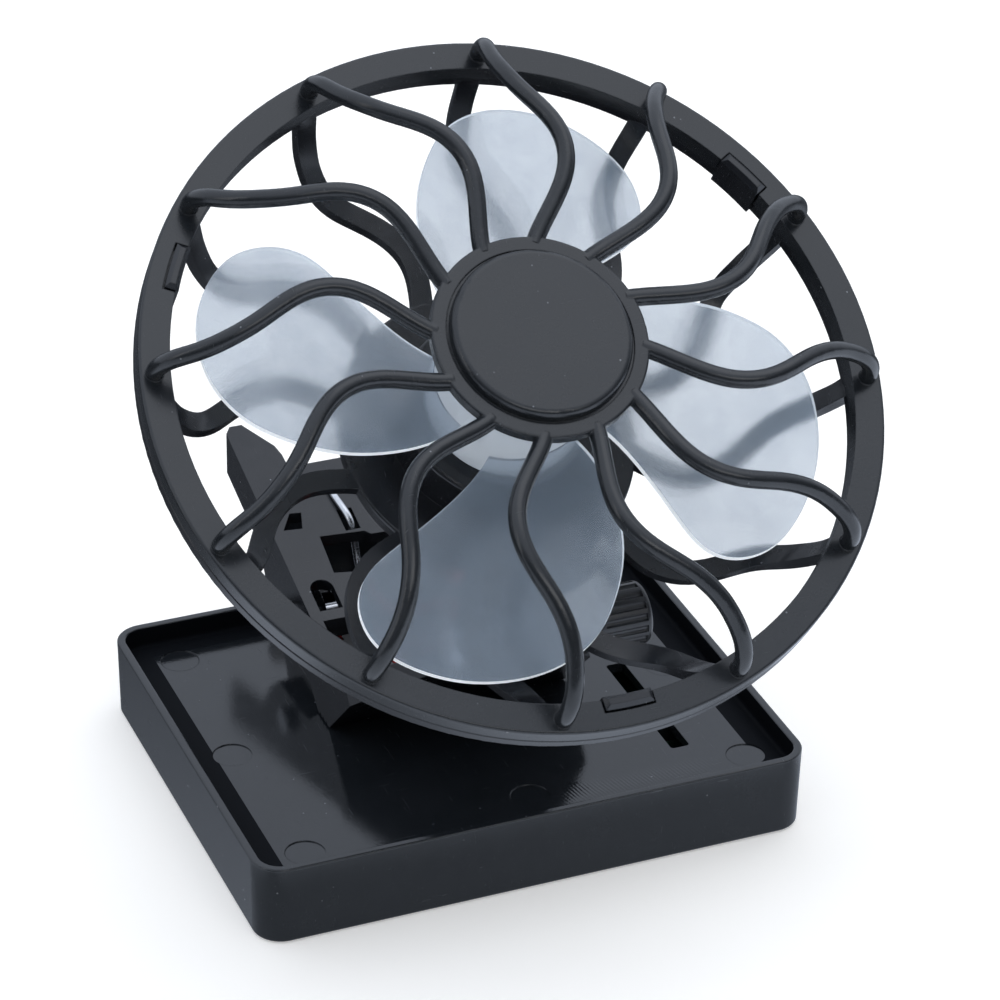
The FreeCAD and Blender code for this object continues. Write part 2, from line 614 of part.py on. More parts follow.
def front_guard():
    ring = tube(RING_RO, RING_RI, PARTING, 0.0)
    ring = ring.makeFillet(RING_RO - RING_RF, outer_edges_at_z(ring, 0.0))
    ring = ring.makeChamfer(0.22, outer_edges_at_z(ring, PARTING))
    spoke = swept([polar(r, SPOKE_ANGLE + angle, z) for r, angle, z in SPOKE_PATH], SPOKE_R)
    hub = fillet_at_z(cylinder(HUB_R, HUB_Z0, HUB_Z1), 0.35, HUB_Z1)
    cap = fillet_at_z(cylinder(CAP_R, HUB_Z1 - 0.3, CAP_Z), 0.95, CAP_Z)
    guard = fuse_all([ring, hub, cap] + around(spoke, SPOKES))
    guard = guard.cut(tube(CAP_R + 0.45, CAP_R, HUB_Z1 - 0.25, HUB_Z1 + 1))
    guard = guard.cut(cylinder(CAP_R - 1.5, HUB_Z0 - 2, CAP_Z - 1.5))
    # notches in the ring take the snap tabs of the rear guard
    across = box(30, 60, -TAB_HALF - 0.2, TAB_HALF + 0.2, -20, 20)
    seat = tube(TAB_RO + 0.25, RING_RI - 1.0, TAB_SEAT, 2.0).common(across)
    groove = tube(TONGUE_RO + 0.2, RING_RI - 1.0, PARTING - 1.0, 2.0).common(across)
    for angle in TAB_ANGLES:
        guard = guard.cut(turned(seat, angle)).cut(turned(groove, angle))
    return guard


# -------------------------------------------------- rear guard (fan's frame)
RING_BACK = -5.0
REAR_SPOKE_W, REAR_SPOKE_T = 3.0, 1.7          # rear spokes are flat
# radius, angle from REAR_SPOKE_ANGLE, z along a rear spoke
REAR_SPOKE_PATH = ((20.6, -9.4, -18.65), (25.0, -13.3, -18.65), (29.0, -13.8, -18.8),
                   (33.0, -11.0, -18.7), (36.8, -6.0, -18.1), (41.0, -0.8, -16.1),
                   (44.5, 0.4, -13.2), (47.4, 0.3, -9.0), (49.5, 0.0, -3.9))
REAR_SPOKE_ANGLE = 109.6
REAR_SECTIONS = 15
CUP_RO, CUP_RI, CUP_Z = 14.2, 12.35, -10.2     # cup round the motor
TAB_RI = 47.8            # nearly flush with the ring's inner wall
TAB_TOP = 0.8            # height over the front ring's face
SCREW_PLACES = [polar(17.9, angle) for angle in (30.0, 150.0, 270.0)]


def rear_spoke():
    curve = spline([polar(r, REAR_SPOKE_ANGLE + angle, z) for r, angle, z in REAR_SPOKE_PATH])
    first, last = curve.FirstParameter, curve.LastParameter
    sections = []
    for i in range(REAR_SECTIONS):
        parameter = first + (last - first) * i / (REAR_SECTIONS - 1.0)
        centre = curve.value(parameter)
        along = curve.tangent(parameter)[0]
        # wide direction is level, square to the run of the spoke
        wide = Vector(0, 0, 1).cross(along)
        wide.normalize()
        thick = along.cross(wide)
        thick.normalize()
        wide = wide * (REAR_SPOKE_W / 2.0)
        thick = thick * (REAR_SPOKE_T / 2.0)
        corners = [centre + wide + thick, centre - wide + thick,
                   centre - wide - thick, centre + wide - thick]
        sections.append(Part.makePolygon(corners + corners[:1]))
    return Part.makeLoft(sections, True, False)


def snap_tab():
    across = box(30, 60, -TAB_HALF, TAB_HALF, -20, 20)
    tongue = tube(TONGUE_RO, TAB_RI, RING_BACK + 0.2, TAB_SEAT + 0.5).common(across)
    head = tube(TAB_RO, TAB_RI, TAB_SEAT + 0.02, TAB_TOP).common(across)
    head = head.makeChamfer(0.6, edges_at_z(head, TAB_TOP))
    root = tube(RING_RI + 1.2, TAB_RI, RING_BACK, PARTING - 0.25).common(across)
    return fuse_all([tongue, head, root])


def rear_guard():
    ring = tube(RING_RO, RING_RI + 0.35, RING_BACK, PARTING)
    ring = ring.makeChamfer(0.22, outer_edges_at_z(ring, PARTING))
    ring = ring.makeFillet(0.7, outer_edges_at_z(ring, RING_BACK))
    plate = fillet_at_z(cylinder(REAR_HUB_R, REAR_Z0, REAR_Z1), 0.5, REAR_Z1)
    cup = fillet_at_z(cylinder(CUP_RO, REAR_Z1 - 0.5, CUP_Z), 0.6, CUP_Z)
    bosses = [cylinder(2.3, REAR_Z1 - 0.5, REAR_Z1 + 3.2, p.x, p.y) for p in SCREW_PLACES]
    tab = snap_tab()
    tabs = [turned(tab, angle) for angle in TAB_ANGLES]
    guard = fuse_all([ring, plate, cup] + around(rear_spoke(), SPOKES) + bosses + tabs)
    guard = guard.cut(cylinder(CUP_RI, REAR_Z0 - 6, CUP_Z - 1.1))
    # centre hole and two small holes through the cup's end
    guard = guard.cut(cylinder(4.2, CUP_Z - 3, CUP_Z + 1))
    for angle in (60.0, 240.0):
        place = polar(8.0, angle)
        guard = guard.cut(cylinder(1.1, CUP_Z - 3, CUP_Z + 1, place.x, place.y))
    for place in SCREW_PLACES:
        guard = guard.cut(cylinder(SCREW_R + SNUG, REAR_Z0 - 2, REAR_Z1 + 2.4,
                                   place.x, place.y))
    return guard


# ------------------------------------------------- motor cover (fan's frame)
WEB_HALF = 3.6
KNUCKLE_R = 4.6
KNUCKLE_HALF = FORK_IN - 0.3
SCREW_HEAD_T = 1.1


def motor_cover():
    knuckle_y, knuckle_z = in_fan_frame(TILT_Y, TILT_Z)
    flange = fillet_at_z(cylinder(REAR_HUB_R - 0.6, FLANGE_Z, REAR_Z0), 0.5, FLANGE_Z)
    dome = Part.makeCone(13.2, 14.6, FLANGE_Z + 0.2 - COVER_BACK, Vector(0, 0, COVER_BACK))
    dome = fillet_at_z(dome, 1.6, COVER_BACK)
    web = yz_plate([(-10.5, COVER_BACK + 1.5), (-19.6, FLANGE_Z + 0.3),
                    (knuckle_y - 4.1, knuckle_z + 2.2), (knuckle_y - 1.0, knuckle_z - 4.4),
                    (knuckle_y + 4.5, knuckle_z - 1.5)], -WEB_HALF, WEB_HALF)
    knuckle = x_cylinder(KNUCKLE_R, -KNUCKLE_HALF, KNUCKLE_HALF, knuckle_y, knuckle_z)
    cover = fuse_all([flange, dome, web, knuckle])
    cover = cover.cut(cylinder(12.6, COVER_BACK + 1.6, REAR_Z0 + 1))
    cover = cover.cut(x_cylinder(TILT_R + 0.05, -20, 20, knuckle_y, knuckle_z))
    for place in SCREW_PLACES:
        cover = cover.cut(cylinder(1.25, FLANGE_Z - 8, REAR_Z0 + 1, place.x, place.y))
    # the last screw sits inside the web, so its head needs a way in
    last = SCREW_PLACES[-1]
    cover = cover.cut(cylinder(2.15, knuckle_z - 8, FLANGE_Z, last.x, last.y))
    for i in range(6):
        hole = polar(7.6, 60.0 * i + 30.0)
        cover = cover.cut(cylinder(1.2, COVER_BACK - 3, COVER_BACK + 3, hole.x, hole.y))
    for side in SIDES:
        cover = cover.cut(cylinder(LEAD_R + 0.3, COVER_BACK - 3, COVER_BACK + 3,
                                   side * COVER_LEAD_X, COVER_LEAD_Y))
    return cover


def cover_screws():
    head_z = FLANGE_Z - SCREW_HEAD_T
    screws = []
    for place in SCREW_PLACES:
        x, y = place.x, place.y
        body = cylinder(SCREW_R, FLANGE_Z, REAR_Z1 + 1.8, x, y)
        head = fillet_at_z(cylinder(1.9, head_z, FLANGE_Z, x, y), 0.5, head_z)
        # cross recess
        for half_x, half_y in ((1.2, 0.22), (0.22, 1.2)):
            head = head.cut(box(x - half_x, x + half_x, y - half_y, y + half_y,
                                head_z - 0.2, head_z + 0.6))
        screws.append(body.fuse(head).removeSplitter())
    return Part.makeCompound(screws)


# ------------------------------------------------------- motor (fan's frame)
def motor_can():
    can = fillet_at_z(cylinder(MOTOR_R, MOTOR_Z0, MOTOR_Z1), 0.6, MOTOR_Z1)
    can = can.fuse(cylinder(3.5, MOTOR_Z1 - 0.3, MOTOR_Z1 + 0.9)).removeSplitter()
    can = can.cut(cylinder(CAN_RI, MOTOR_Z0 - 1, MOTOR_Z1 - CAN_WALL))
    return can.cut(cylinder(BUSH_R + SNUG, MOTOR_Z1 - 2, MOTOR_Z1 + 2))


def motor_endcap():
    endcap = cylinder(CAN_RI - 0.01, MOTOR_Z0, MOTOR_Z0 + 2.0)
    endcap = endcap.cut(cylinder(BUSH_R + SNUG, MOTOR_Z0 - 1, MOTOR_Z0 + 3))
    for side in SIDES:
        x = side * TERMINAL_X
        endcap = endcap.cut(box(x - 0.61, x + 0.61, -0.31, 0.31, MOTOR_Z0 - 1, MOTOR_Z0 + 3))
    return endcap


def motor_magnets():
    magnet = tube(CAN_RI - 0.01, 8.9, MOTOR_Z0 + 2.6, MOTOR_Z1 - 1.4)
    magnet = magnet.cut(box(-20, 20, -4.2, 4.2, -40, 0))
    magnet = magnet.common(box(-20, 20, 0, 20, -40, 0))
    return Part.makeCompound(around(magnet, 2))


def motor_bushings():
    spans = ((MOTOR_Z1 - 1.5, MOTOR_Z1 + 0.9), (MOTOR_Z0 - 0.2, MOTOR_Z0 + 2.0))
    return Part.makeCompound([tube(BUSH_R, SHAFT_R + 0.04, z0, z1) for z0, z1 in spans])


def motor_terminals():
    return Part.makeCompound([
        box(side * TERMINAL_X - 0.6, side * TERMINAL_X + 0.6, -0.3, 0.3,
            MOTOR_Z0 - 2.2, MOTOR_Z0 + 2.3) for side in SIDES])


def motor_brushes():
    """Strips beside the commutator, bent round to meet the terminals."""
    z0, z1 = MOTOR_Z0 + 2.35, MOTOR_Z0 + 3.5
    brushes = []
    for side in SIDES:
        brush = box(side * 2.62, side * 3.02, -1.4, 5.2, z0, z1)
        brush = brush.fuse(box(side * 2.7, side * 6.4, 4.8, 5.2, z0, z1))
        brush = brush.fuse(box(side * 5.7, side * 6.4, -0.3, 5.2, z0, z0 + 0.4))
        brushes.append(brush.removeSplitter())
    return Part.makeCompound(brushes)


def motor_shaft():
    tip = 3.4
    shaft = cylinder(SHAFT_R, MOTOR_Z0 + 0.2, tip)
    return shaft.makeChamfer(0.2, edges_at_z(shaft, tip))


def armature_core():
    """Three stems with curved shoes at their ends."""
    stem = box(1.5, 7.6, -STEM_HALF, STEM_HALF, CORE_Z0, CORE_Z1)
    wedge = xy_plate([(0, 0), (12, -11.5), (12, 11.5)], CORE_Z0, CORE_Z1)
    stem = stem.fuse(tube(8.5, 7.3, CORE_Z0, CORE_Z1).common(wedge))
    core = fuse_all([cylinder(2.6, CORE_Z0, CORE_Z1)] + around(stem, 3))
    return core.cut(cylinder(SHAFT_R + SNUG, -40, 10))


def armature_coils():
    coil = box(3.6, 6.6, -2.6, 2.6, CORE_Z0 - 1.0, CORE_Z1 + 1.0)
    coil = coil.makeFillet(0.9, [e for e in coil.Edges if e.BoundBox.XLength > 2])
    coil = coil.cut(box(3.0, 8, -STEM_HALF - 0.01, STEM_HALF + 0.01,
                        CORE_Z0 - 0.01, CORE_Z1 + 0.01))
    return Part.makeCompound(around(coil, 3))


def commutator():
    ring = tube(2.5, SHAFT_R + SNUG, MOTOR_Z0 + 2.4, MOTOR_Z0 + 3.9)
    for slit in around(box(2.0, 4, -0.12, 0.12, -40, 0), 3, 60.0):
        ring = ring.cut(slit)
    return ring


# ------------------------------------------------------- rotor (fan's frame)
# Cup-shaped hub with four broad blades, one moulding.
ROTOR_HUB_R, ROTOR_Z0, ROTOR_Z1 = 11.3, -8.6, 4.0
BLADES = 4
BLADE_T = 0.9
BLADE_SLOPE = 0.239      # height per mm across the blade, about 13.5 degrees
BLADE_ANGLE = 72.0       # middle of the first blade
# angle, radius round the blade, seen along the axis
BLADE_OUTLINE = (
    (118.0, 10.6), (115.0, 17.0), (109.0, 23.0), (104.0, 27.6), (99.0, 31.6), (94.5, 34.9),
    (90.0, 38.0), (84.5, 40.7), (78.0, 42.7), (71.5, 43.8), (65.0, 44.3), (59.0, 44.2),
    (53.0, 43.6), (48.0, 42.5), (43.5, 40.4), (40.2, 37.7), (38.6, 34.8), (39.0, 31.0),
    (41.2, 27.0), (45.5, 21.5), (51.0, 16.0), (56.0, 10.6))


def blade_z(across):
    """Height of the blade's upper face at a distance across it."""
    return -3.7 + BLADE_T / 2.0 + BLADE_SLOPE * across - 0.001 * across * across


def rotor_blade():
    base_z = -14.0
    rim = [polar(radius, angle, base_z) for angle, radius in BLADE_OUTLINE]
    root = Part.makePolygon([rim[-1], polar(8.0, 78.0, base_z), rim[0]])
    outline = Part.Wire([spline(rim).toShape()] + root.Edges)
    planform = Part.Face(outline).extrude(Vector(0, 0, 24))
    out_direction = polar(1.0, BLADE_ANGLE)
    across_direction = polar(1.0, BLADE_ANGLE + 90.0)
    grid = []
    for i in range(9):
        row = []
        for j in range(13):
            across = -34.0 + 62.0 * j / 12.0
            point = out_direction * (2.0 + 45.0 * i / 8.0) + across_direction * across
            row.append(Vector(point.x, point.y, blade_z(across)))
        grid.append(row)
    surface = Part.BSplineSurface()
    surface.interpolate(grid)
    sheet = surface.toShape().extrude(Vector(0, 0, -BLADE_T))
    return planform.common(sheet).Solids[0]


def fan_rotor():
    hub = Part.makeCone(ROTOR_HUB_R, ROTOR_HUB_R - 0.35, ROTOR_Z1 - ROTOR_Z0,
                        Vector(0, 0, ROTOR_Z0))
    hub = fillet_at_z(hub, 1.4, ROTOR_Z1)
    rotor = fuse_all([hub] + around(rotor_blade(), BLADES))
    rotor = rotor.cut(cylinder(ROTOR_HUB_R - 1.6, ROTOR_Z0 - 1, ROTOR_Z1 - 1.3))
    shaft_tube = cylinder(2.6, ROTOR_Z0 + 0.6, ROTOR_Z1 - 0.5)
    rib = box(0.8, ROTOR_HUB_R - 1.0, -0.4, 0.4, ROTOR_Z0 + 3.0, ROTOR_Z1 - 0.6)
    rotor = fuse_all([rotor, shaft_tube] + around(rib, 4, 45.0))
    return rotor.cut(cylinder(SHAFT_R + SNUG, -20, 3.45))


# -------------------------------------------------------------------- leads
# Each lead is in three lengths, one for each body it is fixed to.
# distance along the arm, x where a lead lies on the arm's back face
ARM_LEAD_PATH = ((12.0, 8.2), (17.0, 6.2), (22.0, 5.1), (27.0, 5.0))


def tray_lead(side):
    x = side * LEAD_X
    return swept([(x, LEAD_Y, BOARD_Z1 + 0.23), (x, LEAD_Y, 5.2), (x, LEAD_Y, 7.5),
                  (x, LEAD_Y, 10.5), (x, LEAD_Y - 0.3, 13.5), (x, LEAD_Y - 1.6, 16.6)], LEAD_R)


def clip_lead(side):
    x = side * LEAD_X
    points = [(x, LEAD_Y - 3.6, 19.6), (x, 17.5, 21.0), (x, 12.5, 19.6), (x, 7.5, 18.3),
              (side * 8.8, 3.0, 18.9)]
    run_y = ARM_BACK_HIGH[0] - ARM_BACK_LOW[0]
    run_z = ARM_BACK_HIGH[1] - ARM_BACK_LOW[1]
    lift = (LEAD_R + 0.35) / math.hypot(run_y, run_z)      # off the arm's back face
    for along, lead_x in ARM_LEAD_PATH:
        share = (along - 4.0) / (ARM_LENGTH - 6.0)
        points.append((side * lead_x,
                       ARM_BACK_LOW[0] + run_y * share + run_z * lift,
                       ARM_BACK_LOW[1] + run_z * share - run_y * lift))
    return swept(points, LEAD_R)


def fan_lead(side):
    x = side * COVER_LEAD_X
    return swept([
        (side * TERMINAL_X, -1.6, MOTOR_Z0 - 1.9), (side * 5.6, -4.6, MOTOR_Z0 - 2.1),
        (side * 5.1, -7.2, COVER_BACK + 2.4), (x, COVER_LEAD_Y, COVER_BACK + 0.8),
        (x, -8.05, COVER_BACK - 0.8), (x, -8.8, COVER_BACK - 2.6),
        (side * 4.9, -11.8, COVER_BACK - 4.4), (side * 4.9, -16.0, COVER_BACK - 4.6)], LEAD_R)


# ------------------------------------------------------------------- output
# Each function is named as its file.
for build in (solar_tray, panel_board, solar_cells, cell_ribbons, panel_cover, panel_pads,
              panel_solder, hinge_pin, pin_ring, spring_coil, spring_leg, clip_lever,
              tilt_bolt, tilt_washers, tilt_knob):
    save(build(), build.__name__)
for build in (front_guard, rear_guard, motor_cover, cover_screws, motor_can, motor_endcap,
              motor_magnets, motor_bushings, motor_terminals, motor_brushes, motor_shaft,
              armature_core, armature_coils, commutator, fan_rotor):
    save(placed(build()), build.__name__)
for side, name in ((-1, "lead_red"), (1, "lead_black")):
    save(tray_lead(side), name + "_tray")
    save(clip_lead(side), name + "_clip")
    save(placed(fan_lead(side)), name + "_fan")
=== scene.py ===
"""A small solar-powered fan: looks, floor, lights and camera.

Metres, +Z up. The tray is centred on the z axis and stands on z = 0, with its long
side along x. The front and the camera are towards -y. The fan's axis leans forward,
up and towards -y. The pieces come from the CAD frame; only their materials are made.
"""
import bpy
import json
import math
from mathutils import Matrix, Vector

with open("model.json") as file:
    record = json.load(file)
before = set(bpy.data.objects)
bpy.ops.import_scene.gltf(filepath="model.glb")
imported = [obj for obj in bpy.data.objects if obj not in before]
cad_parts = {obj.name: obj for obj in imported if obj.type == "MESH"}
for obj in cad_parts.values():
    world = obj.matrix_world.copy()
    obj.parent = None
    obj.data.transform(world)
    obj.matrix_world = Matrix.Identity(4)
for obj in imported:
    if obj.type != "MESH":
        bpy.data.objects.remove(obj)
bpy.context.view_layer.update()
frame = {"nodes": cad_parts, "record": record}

scene = bpy.context.scene

# The fan's axis: a unit direction, and the point on it at the hub
FAN_AXIS = Vector((0.0, -0.59622, 0.80282))
FAN_CENTRE = (0.0, -0.0222, 0.0771)


# ------------------------------------------------------------ node helpers
class Graph:
    """Builds the node tree of a material or world. Most methods return an output socket."""

    def __init__(self, owner, output="ShaderNodeOutputMaterial", coordinates="Object"):
        owner.use_nodes = True
        self.owner = owner
        self.tree = owner.node_tree
        self.tree.nodes.clear()
        self.output = self.node(output)
        self.coord = self.node("ShaderNodeTexCoord").outputs[coordinates]

    def put(self, socket, value):
        """Link a socket, or set a value; a colour may be three numbers or one grey."""
        if isinstance(value, bpy.types.NodeSocket):
            self.tree.links.new(value, socket)
        elif socket.type == "RGBA":
            rgb = value if isinstance(value, tuple) else (value,) * 3
            socket.default_value = (*rgb, 1.0)
        else:
            socket.default_value = value

    def node(self, kind, inputs={}, **props):
        node = self.tree.nodes.new(kind)
        for key, value in props.items():
            setattr(node, key, value)
        for key, value in inputs.items():
            self.put(node.inputs[key], value)
        return node

    def mapped(self, scale=(1, 1, 1), rotation=(0, 0, 0), location=(0, 0, 0)):
        return self.node("ShaderNodeMapping", {
            "Vector": self.coord, "Location": location,
            "Rotation": rotation, "Scale": scale}).outputs[0]

    def xyz(self):
        return self.node("ShaderNodeSeparateXYZ", {0: self.coord}).outputs

    def noise(self, scale, detail=4.0, rough=0.55, vector=None, distort=0.0):
        return self.node("ShaderNodeTexNoise", {
            "Vector": vector or self.coord, "Scale": scale, "Detail": detail,
            "Roughness": rough, "Distortion": distort}).outputs["Fac"]

    def voronoi(self, scale, output="Distance"):
        return self.node("ShaderNodeTexVoronoi", {
            "Vector": self.coord, "Scale": scale}).outputs[output]

    def ramp(self, factor, *stops, mode="LINEAR"):
        """Colour ramp; each stop is (position, grey or colour)."""
        node = self.node("ShaderNodeValToRGB", {"Fac": factor})
        node.color_ramp.interpolation = mode
        elements = node.color_ramp.elements
        while len(elements) > 1:
            elements.remove(elements[-1])
        elements[0].position = stops[0][0]
        for i, (position, value) in enumerate(stops):
            element = elements[0] if i == 0 else elements.new(position)
            rgb = value if isinstance(value, tuple) else (value,) * 3
            element.color = (*rgb, 1.0)
        return node.outputs["Color"]

    def map_range(self, value, start, end, low=0.0, high=1.0, mode="SMOOTHSTEP"):
        """Carry start..end to low..high."""
        return self.node("ShaderNodeMapRange", {
            "Value": value, "From Min": start, "From Max": end,
            "To Min": low, "To Max": high}, interpolation_type=mode).outputs[0]

    def math(self, operation, first, second=0.0):
        return self.node("ShaderNodeMath", {0: first, 1: second}, operation=operation).outputs[0]

    def add(self, first, second):
        return self.math("ADD", first, second)

    def subtract(self, first, second):
        return self.math("SUBTRACT", first, second)

    def multiply(self, product, *factors):
        for factor in factors:
            product = self.math("MULTIPLY", product, factor)
        return product

    def distance(self, value, centre):
        return self.math("ABSOLUTE", self.subtract(value, centre))

    def beyond(self, value, half):
        """How far |value| lies past a half size; negative within it."""
        return self.subtract(self.math("ABSOLUTE", value), half)

    def vector_math(self, operation, inputs, output=0):
        return self.node("ShaderNodeVectorMath", inputs, operation=operation).outputs[output]

    def mix(self, factor, first, second):
        return self.node("ShaderNodeMix", {"Factor": factor, 6: first, 7: second},
                         data_type="RGBA").outputs[2]

    def bump(self, height, strength, distance, normal=None, bevel=0.0):
        inputs = {"Strength": strength, "Distance": distance, "Height": height}
        if bevel:
            normal = self.node("ShaderNodeBevel", {"Radius": bevel}, samples=4).outputs[0]
        if normal is not None:
            inputs["Normal"] = normal
        return self.node("ShaderNodeBump", inputs).outputs[0]

    def principled(self, colour, roughness, normal, **others):
        """Principled shader; other inputs go by name, with _ for a space."""
        inputs = {"Base Color": colour, "Roughness": roughness, "Normal": normal}
        inputs.update((key.replace("_", " "), value) for key, value in others.items())
        return self.node("ShaderNodeBsdfPrincipled", inputs).outputs[0]

    def emission(self, colour, strength):
        return self.node("ShaderNodeEmission", {"Color": colour, "Strength": strength}).outputs[0]

    def add_shader(self, first, second):
        return self.node("ShaderNodeAddShader", {0: first, 1: second}).outputs[0]

    def mix_shader(self, factor, first, second):
        return self.node("ShaderNodeMixShader", {"Fac": factor, 1: first, 2: second}).outputs[0]

    def finish(self, shader):
        self.put(self.output.inputs["Surface"], shader)
        return self.owner


def material_graph(name):
    return Graph(bpy.data.materials.new(name))


# --------------------------------------------------------- black mouldings
def plastic_look(name, dark, light, rough, specks, grain=2600.0, bevel=0.00018, wave=0.00004):
    """Black moulded plastic: colour drift, grain, sink waves, hair scratches and pale dust.

    Returns the graph and the arguments for its principled shader.
    """
    graph = material_graph(name)
    slow = graph.noise(scale=38.0, detail=5.0, rough=0.6)
    mid = graph.noise(scale=260.0, detail=6.0, rough=0.65)
    fine = graph.noise(scale=grain, detail=3.0, rough=0.5)
    base = graph.ramp(graph.multiply(graph.add(slow, mid), 0.5), (0.32, dark), (0.72, light))

    # Hair scratches: long thin streaks in two directions
    streaks = []
    for scale, rotation, none, full in (  # none, full: noise levels where a streak starts, peaks
        ((9000, 160, 900), (0.3, 0.5, 0.7), 0.73, 0.76),
        ((170, 8200, 1100), (0.1, -0.4, 0.25), 0.74, 0.77),
    ):
        streak = graph.noise(scale=1.0, detail=2.0, rough=0.5,
                             vector=graph.mapped(scale, rotation))
        streaks.append(graph.ramp(streak, (none, 0.0), (full, 1.0)))
    hair = graph.multiply(graph.math("MAXIMUM", *streaks), 0.5)

    # Dust: tiny pale points, gathered in patches
    patches = graph.noise(scale=90.0, detail=2.0, rough=0.5,
                          vector=graph.mapped(location=(3.1, 1.7, 2.2)))
    dust = graph.multiply(
        graph.ramp(graph.voronoi(scale=420.0), (0.03, 1.0), (0.075, 0.0)),
        graph.ramp(patches, (0.52, 0.0), (0.6, 1.0)),
        specks)

    colour = graph.mix(graph.multiply(hair, 0.25), base, (0.16, 0.17, 0.18))
    colour = graph.mix(dust, colour, (0.5, 0.52, 0.55))
    roughness = graph.ramp(mid, (0.3, rough[0]), (0.75, rough[1]))
    roughness = graph.mix(graph.math("MAXIMUM", hair, dust), roughness, 0.6)

    # Relief in metres
    grain_depth = 0.00001
    scratch_depth = 0.000006
    sink = graph.noise(scale=70.0, detail=2.0, rough=0.4)
    height = graph.add(graph.multiply(fine, grain_depth), graph.multiply(sink, wave))
    height = graph.subtract(height, graph.multiply(hair, scratch_depth))
    normal = graph.bump(height, strength=1.0, distance=1.0, bevel=bevel)
    return graph, dict(colour=colour, roughness=roughness, normal=normal,
                       IOR=1.5, Specular_IOR_Level=0.5)


def plastic(*look):
    graph, inputs = plastic_look(*look)
    return graph.finish(graph.principled(**inputs))


def tray_plastic():
    """The glossiest moulding, with a tooled patch, and painted shade that darkens and dulls a
    border round the floor.
    """
    graph, inputs = plastic_look(
        "tray_black", dark=(0.010, 0.012, 0.014), light=(0.017, 0.019, 0.022),
        rough=(0.09, 0.15), specks=0.4, wave=0.00003)

    # Tool marks: skewed bands within a patch at the front right, fading at its edges
    patch_x, patch_half_x = 0.0185, 0.0145
    patch_y, patch_half_y = -0.0266, 0.0026
    bands = graph.node("ShaderNodeTexWave", {
        "Vector": graph.mapped(rotation=(0, 0, math.radians(-14))),
        "Scale": 560.0, "Distortion": 1.6, "Detail": 2.0, "Detail Scale": 0.6,
    }, wave_type="BANDS", bands_direction="X").outputs["Fac"]
    x, y, z = graph.xyz()
    across = graph.math("DIVIDE", graph.distance(x, patch_x), patch_half_x)
    along = graph.math("DIVIDE", graph.distance(y, patch_y), patch_half_y)
    marks = graph.multiply(
        graph.ramp(across, (0.6, 1.0), (1.0, 0.0)),
        graph.ramp(along, (0.3, 1.0), (1.0, 0.0)),
        bands)
    inputs["normal"] = graph.bump(marks, strength=0.8, distance=0.00004, normal=inputs["normal"])

    # Painted shade for the walls' dark reflection in the floor, on the recess walls and a border
    # round the floor:
    # outside the polished rectangle, inside a round-cornered one, within a band of heights
    polished_x, polished_y = 0.0371, 0.0300  # half sizes
    corner_x, corner_y = 0.038, 0.030  # corner centres
    corner_radius = 0.00328
    band_z, band_half = 0.01062, 0.00172
    outside = graph.math("GREATER_THAN", graph.math(
        "MAXIMUM", graph.beyond(x, polished_x), graph.beyond(y, polished_y)), 0.0)
    past_x = graph.math("MAXIMUM", graph.beyond(x, corner_x), 0.0)
    past_y = graph.math("MAXIMUM", graph.beyond(y, corner_y), 0.0)
    reach = graph.math("SQRT", graph.add(
        graph.multiply(past_x, past_x), graph.multiply(past_y, past_y)))
    inside = graph.math("LESS_THAN", reach, corner_radius)
    low = graph.math("LESS_THAN", graph.distance(z, band_z), band_half)
    painted_shade_border = graph.multiply(outside, inside, low)
    # Painted shade: a darker, duller, less specular colour on the border
    inputs["colour"] = graph.mix(painted_shade_border, inputs["colour"], (0.007, 0.008, 0.010))
    inputs["roughness"] = graph.mix(painted_shade_border, inputs["roughness"], 0.55)
    inputs["Specular_IOR_Level"] = graph.subtract(0.5, graph.multiply(painted_shade_border, 0.47))
    return graph.finish(graph.principled(**inputs))


